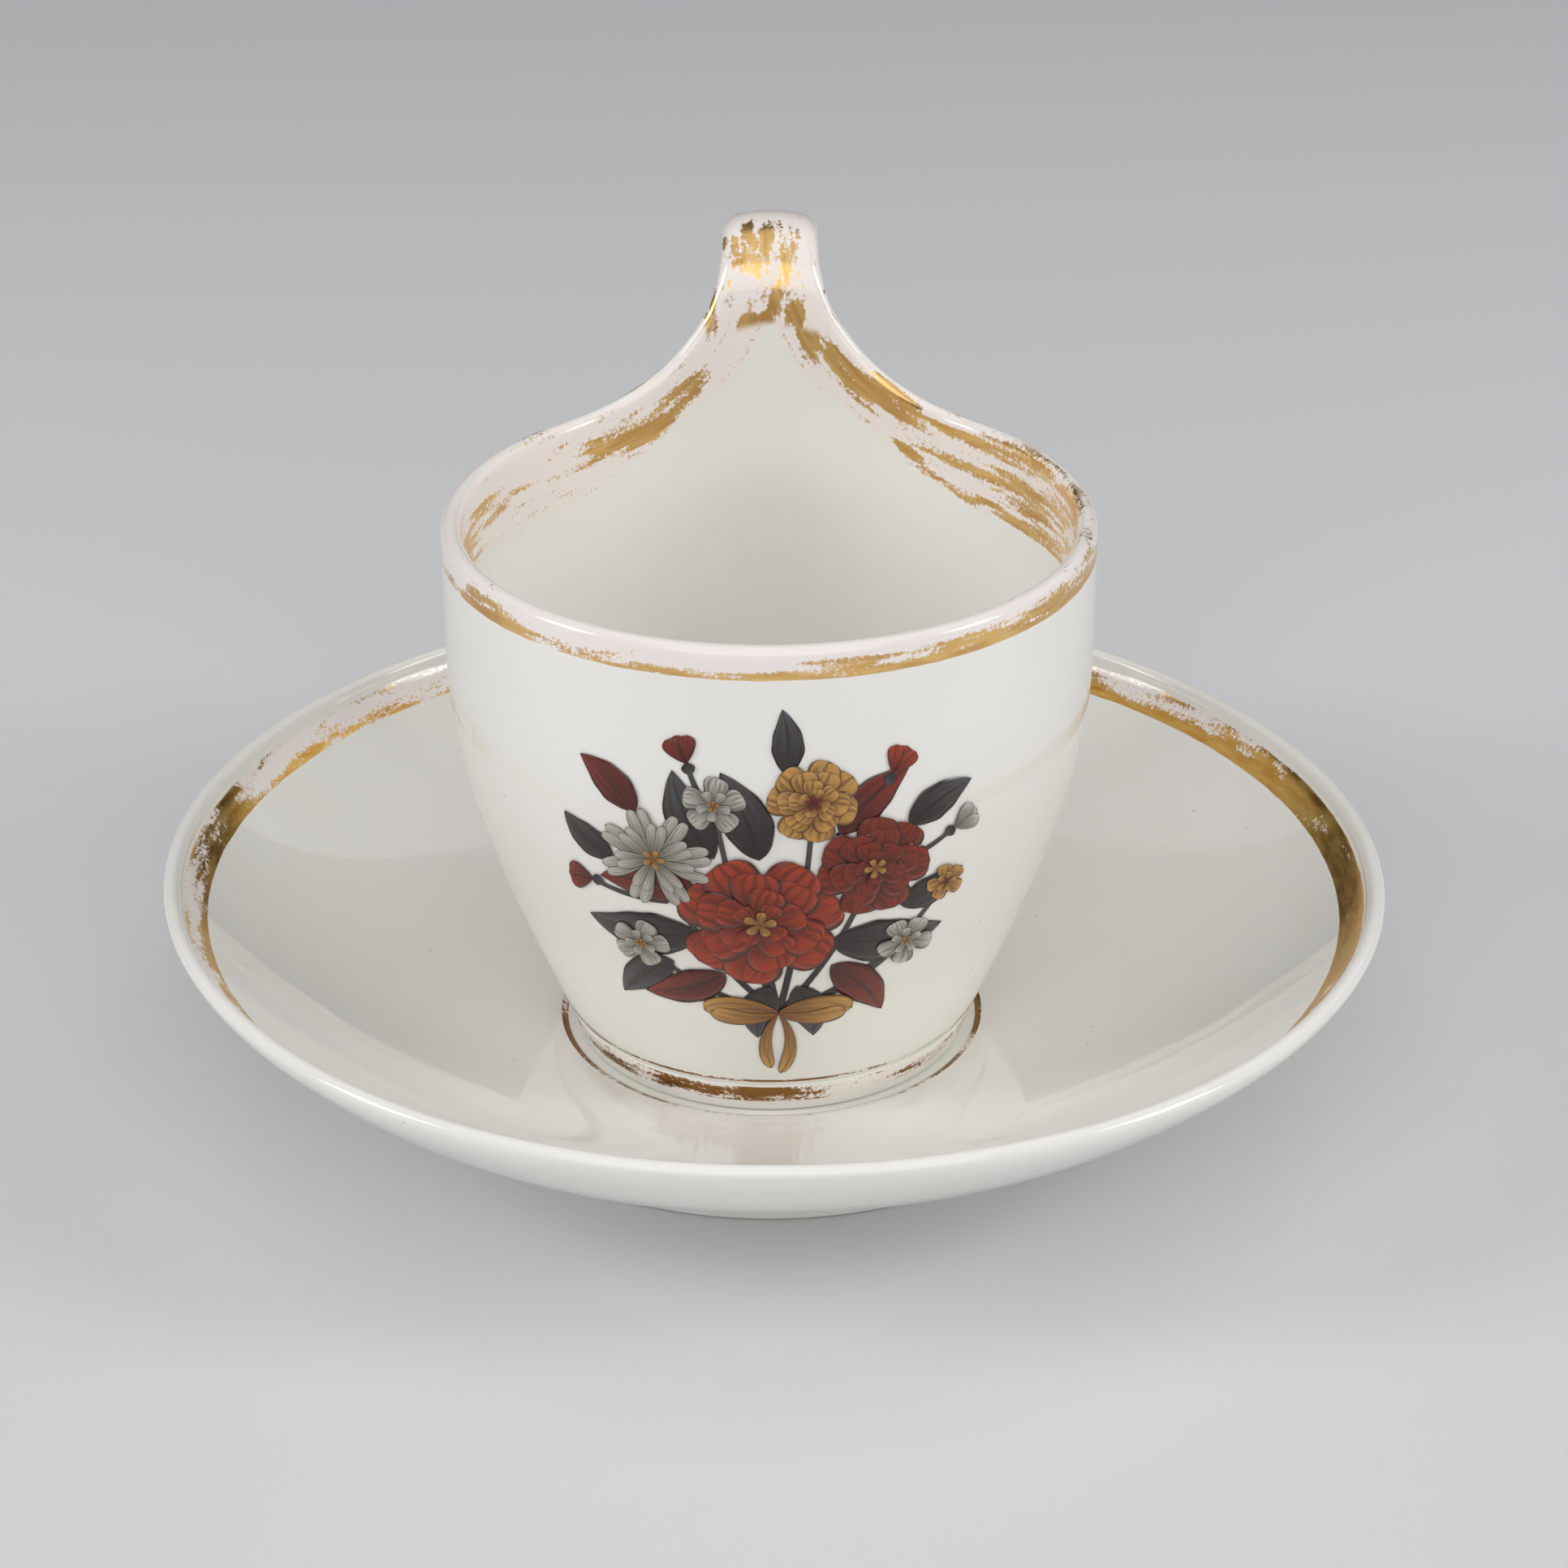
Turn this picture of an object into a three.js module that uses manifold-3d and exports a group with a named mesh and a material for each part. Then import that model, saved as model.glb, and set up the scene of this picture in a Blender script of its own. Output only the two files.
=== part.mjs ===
// Porcelain cup with a tall strap handle, standing in the well of its saucer.
// Millimetres, +Z up. The origin is on the table under the middle of the saucer,
// and the handle points towards +Y.

import * as THREE from 'three';
import { LoftGeometry } from 'three/addons/geometries/LoftGeometry.js';
import { mergeVertices } from 'three/addons/utils/BufferGeometryUtils.js';
import Module from 'manifold-3d';

// Saucer
const saucerRadius = 72.5;        // outermost edge of the lip
const saucerHeight = 28.5;        // table to the top of the lip
const saucerLipRadius = 1.05;     // the lip is a half round, twice this thick
const saucerLipHeight = 2;        // it stands upright on the end of the dish
const saucerLipSlope = 47;        // degrees, steepness of the dish where it meets the lip
const saucerWellSlope = 6;        // degrees, steepness of the dish where it leaves the well
const saucerWallAtLip = 1.6;
const saucerWallAtFoot = 3.8;     // the wall thickens from the lip down to the foot
const saucerFloor = 3;            // thickness under the well
const saucerFootRadius = 39;
const saucerFootWidth = 3.6;
const saucerFootHeight = 2.4;
const wellClearance = 1.1;        // room round the foot of the cup
const wellDepth = 0.6;
const wellStepWidth = 0.9;

// Bowl of the cup, heights from the bottom of its foot
const cupRadius = 38.1;
const cupHeight = 67;             // foot to rim, without the handle
const cupWall = 2.4;
const cupFloor = 3.4;
const cupFloorFillet = 6;         // where the inside turns from floor to wall
const shoulderHeight = 50;        // the wall is upright above this
const shoulderEase = 16.5;        // how gently it turns upright
const flankLean = 22.4;           // degrees from upright, where the wall leaves the foot
const flankEase = 12.3;           // how long it keeps that lean
const bowlOverhang = 0.2;         // the bowl stands proud of its foot ring

// Foot ring of the cup
const cupFootRadius = 23.8;       // on the ground
const cupFootFlare = 1.3;         // how much wider it is under the bowl
const cupFootWidth = 3;
const cupFootHeight = 4.6;

// Rim drawn up into a lip at the back
const lipRise = 10;               // rim to the seat of the handle
const sweepRadius = 19;           // the rim sweeps up in a quarter round, seen from the front

// Strap handle, measured on its middle line
const strapWidth = 11.6;
const strapWaist = 9.4;           // narrowest, behind the crook
const strapFoot = 11;             // width where it meets the lower wall
const strapThickness = 4.2;
const strapThickening = 12;       // length over which the lip swells into the strap
const crookRise = 1.8;            // straight stretch above the seat
const crookRadius = 6.8;          // the strap rolls over backwards
const handleTopEase = 20;         // how far it runs on level behind the crook
const handleFootHeight = 24;      // where it meets the lower wall
const handleFootLean = 30;        // degrees above level, where it leaves that wall
const handleFootEase = 34;        // how far it keeps that direction
const jointGap = 0.3;             // between the handle's foot and the wall

// Edges and fineness
const footEdge = 0.6;             // chamfer on the ground side of both foot rings
const turns = 64;                 // facets round a turned piece
const frontSteps = 44;            // facets round the level part of the rim
const sweepSteps = 8;             // facets along each side of the sweep
const seatSteps = 4;              // facets under the handle
const curveSteps = 8;             // facets along a curved wall
const roundSteps = 4;             // facets over a rounded edge
const strapSides = 16;
const backSteps = 22;             // sections down the back of the handle
const wallSteps = 100;            // places tried along the wall for the handle's foot

// Finish
const glazedWhite = 0xdedcd3;
const bareClay = 0xd2cdc2;
const glazeRoughness = 0.12;

const wellFloorZ = saucerFootHeight + saucerFloor;
const wellFloorRadius = cupFootRadius + wellClearance;
const wellRadius = wellFloorRadius + wellStepWidth;

const wasm = await Module();
wasm.setup();

const degrees = THREE.MathUtils.degToRad;

function point(r, z) {
  return new THREE.Vector2(r, z);
}

// Points along a curve, each moved square to it by a distance that may change from start to end.
function beside(curve, steps, startDistance, endDistance = startDistance) {
  const moved = [];
  for (let i = 0; i <= steps; i += 1) {
    const share = i / steps;
    const along = curve.getTangent(share);
    const distance = THREE.MathUtils.lerp(startDistance, endDistance, share);
    moved.push(curve.getPoint(share).add(point(-along.y, along.x).multiplyScalar(distance)));
  }
  return moved;
}

function arc(centreR, centreZ, radius, startDegrees, endDegrees, steps) {
  const clockwise = endDegrees < startDegrees;
  const round = new THREE.EllipseCurve(centreR, centreZ, radius, radius,
    degrees(startDegrees), degrees(endDegrees), clockwise);
  return round.getPoints(steps);
}

function turned(profile) {
  return new THREE.LatheGeometry(profile, turns).rotateX(Math.PI / 2);
}

function solidOf(geometry) {
  const bare = new THREE.BufferGeometry().copy(geometry);
  bare.deleteAttribute('normal');
  bare.deleteAttribute('uv');
  const merged = mergeVertices(bare);
  return new wasm.Manifold(new wasm.Mesh({
    numProp: 3,
    vertProperties: merged.attributes.position.array,
    triVerts: Uint32Array.from(merged.index.array),
  }));
}

function geometryOf(solid) {
  const mesh = solid.getMesh();
  const geometry = new THREE.BufferGeometry();
  geometry.setAttribute('position', new THREE.BufferAttribute(mesh.vertProperties, mesh.numProp));
  geometry.setIndex(new THREE.BufferAttribute(mesh.triVerts, 1));
  geometry.computeVertexNormals();
  return geometry;
}

function footRing(radius, width, height, flare) {
  return turned([
    point(radius - width, height),
    point(radius - width, footEdge),
    point(radius - width + footEdge, 0),
    point(radius - footEdge, 0),
    point(radius, footEdge),
    point(radius + flare, height),
    point(radius - width, height),
  ]);
}

function saucerDish() {
  const lipR = saucerRadius - saucerLipRadius;
  const lipZ = saucerHeight - saucerLipRadius;
  const dishEnd = point(lipR - saucerLipRadius, saucerHeight - saucerLipHeight);
  const wellEdge = point(wellRadius, wellFloorZ + wellDepth);

  // The dish curves from the well's slope to the lip's slope. The bend is where the two slopes meet.
  const wellRise = Math.tan(degrees(saucerWellSlope));
  const endRise = Math.tan(degrees(saucerLipSlope));
  const run = (wellEdge.y - dishEnd.y + endRise * (dishEnd.x - wellEdge.x)) / (endRise - wellRise);
  const bend = point(wellEdge.x + run, wellEdge.y + run * wellRise);
  const dish = new THREE.QuadraticBezierCurve(wellEdge, bend, dishEnd);

  const underside = beside(dish, curveSteps, -saucerWallAtFoot, -saucerWallAtLip)
    .filter((p) => p.x > saucerFootRadius + footEdge);

  return turned([
    point(0, saucerFootHeight),
    point(saucerFootRadius, saucerFootHeight),
    point(saucerFootRadius, underside[0].y - footEdge),
    ...underside,
    ...arc(lipR, lipZ, saucerLipRadius, 0, 180, roundSteps),
    ...dish.getPoints(curveSteps).toReversed(),
    point(wellFloorRadius, wellFloorZ),
    point(0, wellFloorZ),
  ]);
}

// The wall of the bowl from its foot to the upright part, outer face.
const bowlFootRadius = cupFootRadius + cupFootFlare + bowlOverhang;
const lean = degrees(flankLean);
const flank = new THREE.CubicBezierCurve(
  point(bowlFootRadius, cupFootHeight),
  point(bowlFootRadius + flankEase * Math.sin(lean), cupFootHeight + flankEase * Math.cos(lean)),
  point(cupRadius, shoulderHeight - shoulderEase),
  point(cupRadius, shoulderHeight),
);

// How far out from the middle of the back the swept-up rim is, at a height above the level rim.
function sweepHalfWidth(rise) {
  const below = Math.max(sweepRadius - rise, 0);
  return strapWidth / 2 + sweepRadius - Math.sqrt(sweepRadius ** 2 - below ** 2);
}

const wallMiddle = cupRadius - cupWall / 2;
const seatHalfWidth = sweepHalfWidth(lipRise);
const seatAngle = Math.asin(seatHalfWidth / wallMiddle);
const sweepAngle = Math.asin(sweepHalfWidth(0) / wallMiddle);

// Height of the rim above its level part, at an angle from the middle of the back.
function rimRise(angle) {
  if (Math.abs(angle) >= sweepAngle) return 0;
  if (Math.abs(angle) <= seatAngle) return lipRise;
  const inside = sweepHalfWidth(0) - wallMiddle * Math.sin(Math.abs(angle));
  return sweepRadius - Math.sqrt(sweepRadius ** 2 - inside ** 2);
}

function stations(start, end, steps) {
  return Array.from({ length: steps }, (_, i) => THREE.MathUtils.lerp(start, end, i / steps));
}

// Angles from the middle of the back, once round.
function bowlAngles() {
  return [
    ...stations(-seatAngle, seatAngle, seatSteps),
    ...stations(seatAngle, sweepAngle, sweepSteps),
    ...stations(sweepAngle, 2 * Math.PI - sweepAngle, frontSteps),
    ...stations(-sweepAngle, -seatAngle, sweepSteps),
  ];
}

function cupBowl() {
  const edge = cupWall / 2;
  const edgeZ = cupHeight - edge;
  const floorZ = cupFootHeight + cupFloor;
  const edgeFollow = 1 + edge / lipRise;

  // Above the shoulder the wall follows the rim up. The rounded edge fades into the flat seat.
  const follow = (z) => {
    if (z > edgeZ) return 1 + (cupHeight - z) / lipRise;
    return edgeFollow * Math.max(z - shoulderHeight, 0) / (edgeZ - shoulderHeight);
  };

  const inside = beside(flank, curveSteps, cupWall).filter((p) => p.y > floorZ + cupFloorFillet / 2);
  const floorCorner = point(inside[0].x - (inside[0].y - floorZ) * Math.tan(lean), floorZ);
  const fillet = new THREE.QuadraticBezierCurve(
    point(floorCorner.x - cupFloorFillet, floorZ), floorCorner, inside[0]);

  const upright = stations(shoulderHeight, edgeZ, roundSteps).slice(1);
  const profile = [
    point(0, cupFootHeight),
    ...flank.getPoints(curveSteps),
    ...upright.map((z) => point(cupRadius, z)),
    ...arc(wallMiddle, edgeZ, edge, 0, 180, roundSteps),
    ...upright.toReversed().map((z) => point(cupRadius - cupWall, z)),
    ...inside.toReversed(),
    ...fillet.getPoints(roundSteps).toReversed().slice(1),
    point(0, floorZ),
  ];

  const rings = profile.map((p) => bowlAngles().map((angle) => new THREE.Vector3(
    -p.x * Math.sin(angle),
    p.x * Math.cos(angle),
    p.y + follow(p.y) * rimRise(angle),
  )));
  return new LoftGeometry(rings);
}

// Middle line of the handle in the plane through the cup's axis: up from the seat, over, and down the back.
function handleLine() {
  const seat = point(wallMiddle, cupHeight + lipRise);
  const crookStart = point(seat.x, seat.y + crookRise);
  const crookEnd = point(crookStart.x + crookRadius, crookStart.y + crookRadius);
  const footLean = degrees(handleFootLean);
  const outward = point(Math.cos(footLean), Math.sin(footLean));
  const wall = flank.getPoints(wallSteps).find((p) => p.y >= handleFootHeight);
  const wallInside = wall.clone().addScaledVector(outward, -cupWall);

  const line = new THREE.CurvePath();
  line.add(new THREE.LineCurve(seat, crookStart));
  line.add(new THREE.EllipseCurve(
    crookEnd.x, crookStart.y, crookRadius, crookRadius, Math.PI, Math.PI / 2, true));
  line.add(new THREE.CubicBezierCurve(
    crookEnd,
    point(crookEnd.x + handleTopEase, crookEnd.y),
    wall.clone().addScaledVector(outward, handleFootEase),
    wallInside,
  ));
  return line;
}

function cupHandle() {
  const line = handleLine();
  const length = line.getLength();
  const crookLength = crookRise + crookRadius * Math.PI / 2;
  const steps = backSteps + 2 * roundSteps;

  const widthAt = (run) => {
    if (run <= crookLength) return 2 * sweepHalfWidth(lipRise + run);
    const share = (run - crookLength) / (length - crookLength);
    const waisted = THREE.MathUtils.lerp(strapWidth, strapFoot, share);
    const straightMiddle = (strapWidth + strapFoot) / 2;
    return waisted - (straightMiddle - strapWaist) * Math.sin(Math.PI * share) ** 2;
  };

  const sections = Array.from({ length: steps + 1 }, (_, i) => {
    const run = length * i / steps;
    const middle = line.getPointAt(i / steps);
    const along = line.getTangentAt(i / steps);
    const thickened = Math.min(run / strapThickening, 1);
    const halfThickness = THREE.MathUtils.lerp(cupWall, strapThickness, thickened) / 2;
    const halfWidth = widthAt(run) / 2;
    return Array.from({ length: strapSides }, (_, k) => {
      const turn = 2 * Math.PI * k / strapSides;
      const x = halfWidth * Math.sign(Math.cos(turn)) * Math.sqrt(Math.abs(Math.cos(turn)));
      const proud = -halfThickness * Math.sign(Math.sin(turn)) * Math.sqrt(Math.abs(Math.sin(turn)));
      const bow = (1 - thickened) * (wallMiddle - Math.sqrt(wallMiddle ** 2 - x ** 2));
      const out = proud + bow;
      return new THREE.Vector3(x, middle.x - out * along.y, middle.y + out * along.x);
    });
  });
  const strap = new LoftGeometry(sections, { capStart: true, capEnd: true });

  // The foot of the handle is fitted to the round wall.
  const wallSkin = beside(flank, curveSteps, -jointGap);
  const wallSolid = turned([
    point(0, wallSkin[0].y),
    ...wallSkin,
    point(0, shoulderHeight),
  ]);
  return geometryOf(solidOf(strap).subtract(solidOf(wallSolid)));
}

function porcelain(name, geometry, color) {
  const material = new THREE.MeshStandardMaterial({ color, roughness: glazeRoughness, metalness: 0 });
  const mesh = new THREE.Mesh(geometry, material);
  mesh.name = name;
  return mesh;
}

const saucer = new THREE.Group();
saucer.add(
  porcelain('saucer_dish', saucerDish(), glazedWhite),
  porcelain('saucer_foot_ring', footRing(saucerFootRadius, saucerFootWidth, saucerFootHeight, 0), bareClay),
);

const cup = new THREE.Group();
cup.position.z = wellFloorZ;
cup.add(
  porcelain('cup_bowl', cupBowl(), glazedWhite),
  porcelain('cup_handle', cupHandle(), glazedWhite),
  porcelain('cup_foot_ring', footRing(cupFootRadius, cupFootWidth, cupFootHeight, cupFootFlare), bareClay),
);

const cupAndSaucer = new THREE.Group();
cupAndSaucer.add(saucer, cup);

export default cupAndSaucer;
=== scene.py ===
"""A porcelain cup with worn gilding and a painted spray of flowers, standing in the well of its saucer."""

import bisect
import math

import bmesh
import bpy
from mathutils import Matrix, Vector


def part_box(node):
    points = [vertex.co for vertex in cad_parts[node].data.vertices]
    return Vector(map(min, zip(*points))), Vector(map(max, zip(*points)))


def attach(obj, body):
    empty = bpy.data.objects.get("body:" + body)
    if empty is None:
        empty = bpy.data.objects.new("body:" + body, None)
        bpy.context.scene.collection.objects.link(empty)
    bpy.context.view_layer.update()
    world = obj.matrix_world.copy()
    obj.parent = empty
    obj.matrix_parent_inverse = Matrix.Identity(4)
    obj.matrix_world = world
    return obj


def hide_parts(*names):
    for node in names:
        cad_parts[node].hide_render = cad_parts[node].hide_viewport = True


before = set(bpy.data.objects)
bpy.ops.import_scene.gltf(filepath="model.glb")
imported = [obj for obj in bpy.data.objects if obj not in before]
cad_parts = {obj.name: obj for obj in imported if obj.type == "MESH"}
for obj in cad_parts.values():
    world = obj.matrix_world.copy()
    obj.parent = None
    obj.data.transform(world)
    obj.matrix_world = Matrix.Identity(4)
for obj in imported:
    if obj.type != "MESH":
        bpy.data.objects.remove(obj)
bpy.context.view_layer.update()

MM = 0.001

# Sizes taken from the frame
bowl_low, bowl_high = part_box("cup_bowl")
cup_foot_low, cup_foot_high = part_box("cup_foot_ring")
dish_low, dish_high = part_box("saucer_dish")
_, ring_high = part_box("saucer_foot_ring")

CUP_RADIUS = bowl_high.y
CUP_BASE = cup_foot_low.z
BOWL_BASE = bowl_low.z
SEAT_Z = bowl_high.z
CUP_FOOT_TOP = cup_foot_high.x
SAUCER_RADIUS = dish_high.x
SAUCER_TOP = dish_high.z
SAUCER_BASE = dish_low.z
SAUCER_FOOT = ring_high.x

# Bowl of the cup
CUP_WALL = 2.4 * MM
CUP_EDGE = CUP_WALL / 2  # the rim is a half round
CUP_FLOOR = 3.4 * MM
CUP_FLOOR_FILLET = 6 * MM
SHOULDER_RISE = 50 * MM  # the wall is upright above this
SHOULDER_EASE = 16.5 * MM
FLANK_LEAN = math.radians(22.4)
FLANK_EASE = 12.3 * MM
BOWL_OVERHANG = 0.2 * MM
CUP_FOOT_FLARE = 1.3 * MM
CUP_FOOT_WIDTH = 3 * MM
CUP_FOOT_GROOVE = 0.25 * MM  # soft groove where the bowl meets its foot

# Lip drawn up at the back, and the strap handle that grows out of it
LIP_RISE = 10 * MM
SWEEP_RADIUS = 19 * MM
STRAP_WIDTH = 12 * MM
STRAP_WAIST = 9.4 * MM
STRAP_FOOT = 11 * MM
STRAP_THICKNESS = 4.2 * MM
STRAP_THICKENING = 12 * MM
STRAP_CORNER = 1.1 * MM  # how far its corners are rounded in, near the seat
STRAP_ARCHING = 0.75  # how nearly its section is an ellipse, past the seat
STRAP_FACE_FALL = 0.12  # how far its faces fall away at the sides, near the seat
STRAP_FOOT_FLARE = 7 * MM  # length of the spread where it joins the wall
STRAP_FOOT_WIDENING = 0.3  # share that it gains there in width
STRAP_FOOT_THICKENING = 0.45  # and in thickness
CROOK_RISE = 1.8 * MM
CROOK_RADIUS = 6.8 * MM
HANDLE_TOP_EASE = 20 * MM
HANDLE_FOOT_RISE = 24 * MM
HANDLE_FOOT_LEAN = math.radians(30)
HANDLE_FOOT_EASE = 34 * MM

# Saucer
SAUCER_LIP = 1.05 * MM  # radius of the half-round lip
SAUCER_LIP_HEIGHT = 2 * MM  # it stands upright on the end of the dish
SAUCER_LIP_SLOPE = math.radians(47)
SAUCER_WELL_SLOPE = math.radians(6)
SAUCER_WALL_AT_LIP = 1.6 * MM
SAUCER_WALL_AT_FOOT = 3.8 * MM
SAUCER_FLOOR = 3 * MM
SAUCER_FOOT_WIDTH = 3.6 * MM
WELL_CLEARANCE = 1.1 * MM
WELL_DEPTH = 0.6 * MM
WELL_STEP = 0.9 * MM
WELL_STEP_RINGS = [(0, 0.1), (0.6, 0.7)]  # each a share of the step outwards and of the depth upwards

# Warp of the fired saucer outside its foot: the right side has sunk and spread, the left spread a little
SAG_RIGHT = 1.8 * MM
SAG_POWER = 1.3  # how it grows towards the right
SPREAD_RIGHT = 1.5 * MM
SPREAD_LEFT = 0.5 * MM

# Both turned pieces
POLE = 2 * MM  # radius of the small disc that closes a floor
FOOT_SOFTENING = 0.6 * MM  # rounding of both feet
# Rings of a softened foot in multiples of that rounding, each (away from its side, above the ground)
FOOT_SIDE_RISES = [2.2, 1]
FOOT_OUTER_EDGE = [(0.15, 0.35), (0.7, 0), (1.5, 0)]
FOOT_INNER_EDGE = [(1.5, 0), (0.7, 0), (0.1, 0.4), (0, 1.4)]
FOOT_ROOT = [(0.2, 1), (1.5, 0), (4, 0)]  # each (in from the inner side, below the base)

# Gilding, worn by use
RIM_BAND_OUTSIDE = 3.7 * MM
RIM_BAND_INSIDE = 11 * MM
LIP_BAND_INSIDE = 6.6 * MM  # the inner band narrows as it climbs to the strap
STRAP_ROOT_BAND = 7.7 * MM  # both sides of it meet under the strap
LIP_BAND_FROM = math.radians(17)  # from the middle of the back
LIP_BAND_TO = math.radians(45)
SAUCER_BAND_OUTER = 70.1 * MM
SAUCER_BAND_WIDTH = 2.6 * MM

# Fineness of the turned meshes
COLUMNS = 72
SEAT_COLUMNS = 3  # on each side of the middle of the back
SWEEP_COLUMNS = 6
FLANK_RINGS = 10
UPRIGHT_RINGS = 4
FILLET_RINGS = 3
RIM_STRIPS = 6
DISH_RINGS = 12
STRAP_RINGS = 56
LINE_SAMPLES = 240
SMOOTHING = 2

SHOULDER_Z = CUP_BASE + SHOULDER_RISE
RIM_Z = SEAT_Z - LIP_RISE
EDGE_Z = RIM_Z - CUP_EDGE
CUP_FLOOR_Z = BOWL_BASE + CUP_FLOOR
CUP_FOOT_GROUND = CUP_FOOT_TOP - CUP_FOOT_FLARE
WALL_MIDDLE = CUP_RADIUS - CUP_WALL / 2
WELL_FLOOR_Z = SAUCER_BASE + SAUCER_FLOOR
WELL_FLOOR_RADIUS = CUP_FOOT_GROUND + WELL_CLEARANCE
COLUMN_ANGLE = 2 * math.pi / COLUMNS
ANGLE_TOLERANCE = 1e-6


def ring(radius, height):
    return Vector((radius, height))


def bezier(points, share):
    """The point at a share of the curve that the control points span."""
    while len(points) > 1:
        points = [a.lerp(b, share) for a, b in zip(points, points[1:])]
    return points[0]


def along_curve(points, steps):
    return [bezier(points, i / steps) for i in range(steps + 1)]


def beside_curve(points, steps, start, end):
    """Points along a curve, each moved square to it by a distance that changes from start to end."""
    tiny = 1e-4
    moved = []
    for i in range(steps + 1):
        share = i / steps
        ahead = bezier(points, min(share + tiny, 1)) - bezier(points, max(share - tiny, 0))
        square = Vector((-ahead.y, ahead.x)).normalized()
        moved.append(bezier(points, share) + square * (start + (end - start) * share))
    return moved


def round_edge(centre, radius, start, end, steps):
    """Rings over a rounded edge, with angles in degrees."""
    turns = [math.radians(start + (end - start) * i / steps) for i in range(steps + 1)]
    return [centre + radius * Vector((math.cos(a), math.sin(a))) for a in turns]


FLANK = [
    ring(CUP_FOOT_TOP + BOWL_OVERHANG, BOWL_BASE),
    ring(CUP_FOOT_TOP + BOWL_OVERHANG + FLANK_EASE * math.sin(FLANK_LEAN),
         BOWL_BASE + FLANK_EASE * math.cos(FLANK_LEAN)),
    ring(CUP_RADIUS, SHOULDER_Z - SHOULDER_EASE),
    ring(CUP_RADIUS, SHOULDER_Z),
]


def select_only(piece):
    bpy.ops.object.select_all(action="DESELECT")
    piece.select_set(True)
    bpy.context.view_layer.objects.active = piece


def turned(name, rings):
    """A closed turned body: a disc is drawn out from ring to ring, as on a wheel."""
    bpy.ops.object.select_all(action="DESELECT")
    first = rings[0]
    bpy.ops.mesh.primitive_circle_add(vertices=COLUMNS, radius=first.x, fill_type="NGON")
    piece = bpy.context.object
    piece.name = name
    piece.data.name = name
    bpy.ops.object.mode_set(mode="EDIT")
    bpy.ops.mesh.select_all(action="SELECT")
    bpy.ops.transform.translate(value=(0, 0, first.y))
    for last, new in zip(rings, rings[1:]):
        bpy.ops.mesh.extrude_region_move(TRANSFORM_OT_translate={"value": (0, 0, new.y - last.y)})
        spread = new.x / last.x
        bpy.ops.transform.resize(value=(spread, spread, 1), center_override=(0, 0, new.y))
    bpy.ops.mesh.select_all(action="SELECT")
    bpy.ops.mesh.normals_make_consistent(inside=False)
    bpy.ops.object.mode_set(mode="OBJECT")
    return piece


def smoothed(piece):
    select_only(piece)
    modifier = piece.modifiers.new("smoothing", "SUBSURF")
    modifier.levels = SMOOTHING
    modifier.render_levels = SMOOTHING
    bpy.ops.object.modifier_apply(modifier=modifier.name)
    bpy.ops.object.shade_smooth()
    return piece


def foot_rings(top, ground, width, top_z, ground_z, base_z):
    """The outside of a foot from its top to the ground, its ground edge, and its inside up to the base."""
    soft = FOOT_SOFTENING
    inner = ground - width
    slope = (top - ground) / (top_z - ground_z)
    rises = [top_z - ground_z, *(times * soft for times in FOOT_SIDE_RISES)]
    return [
        *(ring(ground + slope * rise, ground_z + rise) for rise in rises),
        *(ring(ground - away * soft, ground_z + up * soft) for away, up in FOOT_OUTER_EDGE),
        *(ring(inner + away * soft, ground_z + up * soft) for away, up in FOOT_INNER_EDGE),
        *(ring(inner - away * soft, base_z - down * soft) for away, down in FOOT_ROOT),
        ring(inner / 2, base_z),
        ring(POLE, base_z),
    ]


def cup_rings():
    """From the middle of the inner floor up over the rim and down to the base."""
    inner = [p for p in beside_curve(FLANK, FLANK_RINGS, CUP_WALL, CUP_WALL)
             if p.y > CUP_FLOOR_Z + CUP_FLOOR_FILLET / 2]
    lowest = inner[0]
    corner = ring(lowest.x - (lowest.y - CUP_FLOOR_Z) * math.tan(FLANK_LEAN), CUP_FLOOR_Z)
    fillet_start = ring(corner.x - CUP_FLOOR_FILLET, CUP_FLOOR_Z)
    fillet = along_curve([fillet_start, corner, lowest], FILLET_RINGS)[:-1]
    upright = [SHOULDER_Z + (EDGE_Z - SHOULDER_Z) * i / UPRIGHT_RINGS for i in range(1, UPRIGHT_RINGS)]
    rim = round_edge(ring(WALL_MIDDLE, EDGE_Z), CUP_EDGE, 180, 0, RIM_STRIPS)
    outer = along_curve(FLANK, FLANK_RINGS)
    foot_top = BOWL_BASE - 2 * CUP_FOOT_GROOVE
    return [
        ring(POLE, CUP_FLOOR_Z),
        ring(fillet_start.x / 2, CUP_FLOOR_Z),
        *fillet,
        *inner,
        *(ring(CUP_RADIUS - CUP_WALL, z) for z in upright),
        *rim,
        *(ring(CUP_RADIUS, z) for z in reversed(upright)),
        *reversed(outer),
        ring(CUP_FOOT_TOP - CUP_FOOT_GROOVE, BOWL_BASE - CUP_FOOT_GROOVE),
        *foot_rings(CUP_FOOT_TOP, CUP_FOOT_GROUND, CUP_FOOT_WIDTH, foot_top, CUP_BASE, BOWL_BASE),
    ]


def sweep_half_width(rise):
    """How far out from the middle of the back the swept-up rim is, at a height above the level rim."""
    below = max(SWEEP_RADIUS - rise, 0)
    return STRAP_WIDTH / 2 + SWEEP_RADIUS - math.sqrt(SWEEP_RADIUS ** 2 - below ** 2)


SEAT_ANGLE = math.asin(sweep_half_width(LIP_RISE) / WALL_MIDDLE)
SWEEP_ANGLE = math.asin(sweep_half_width(0) / WALL_MIDDLE)


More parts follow.
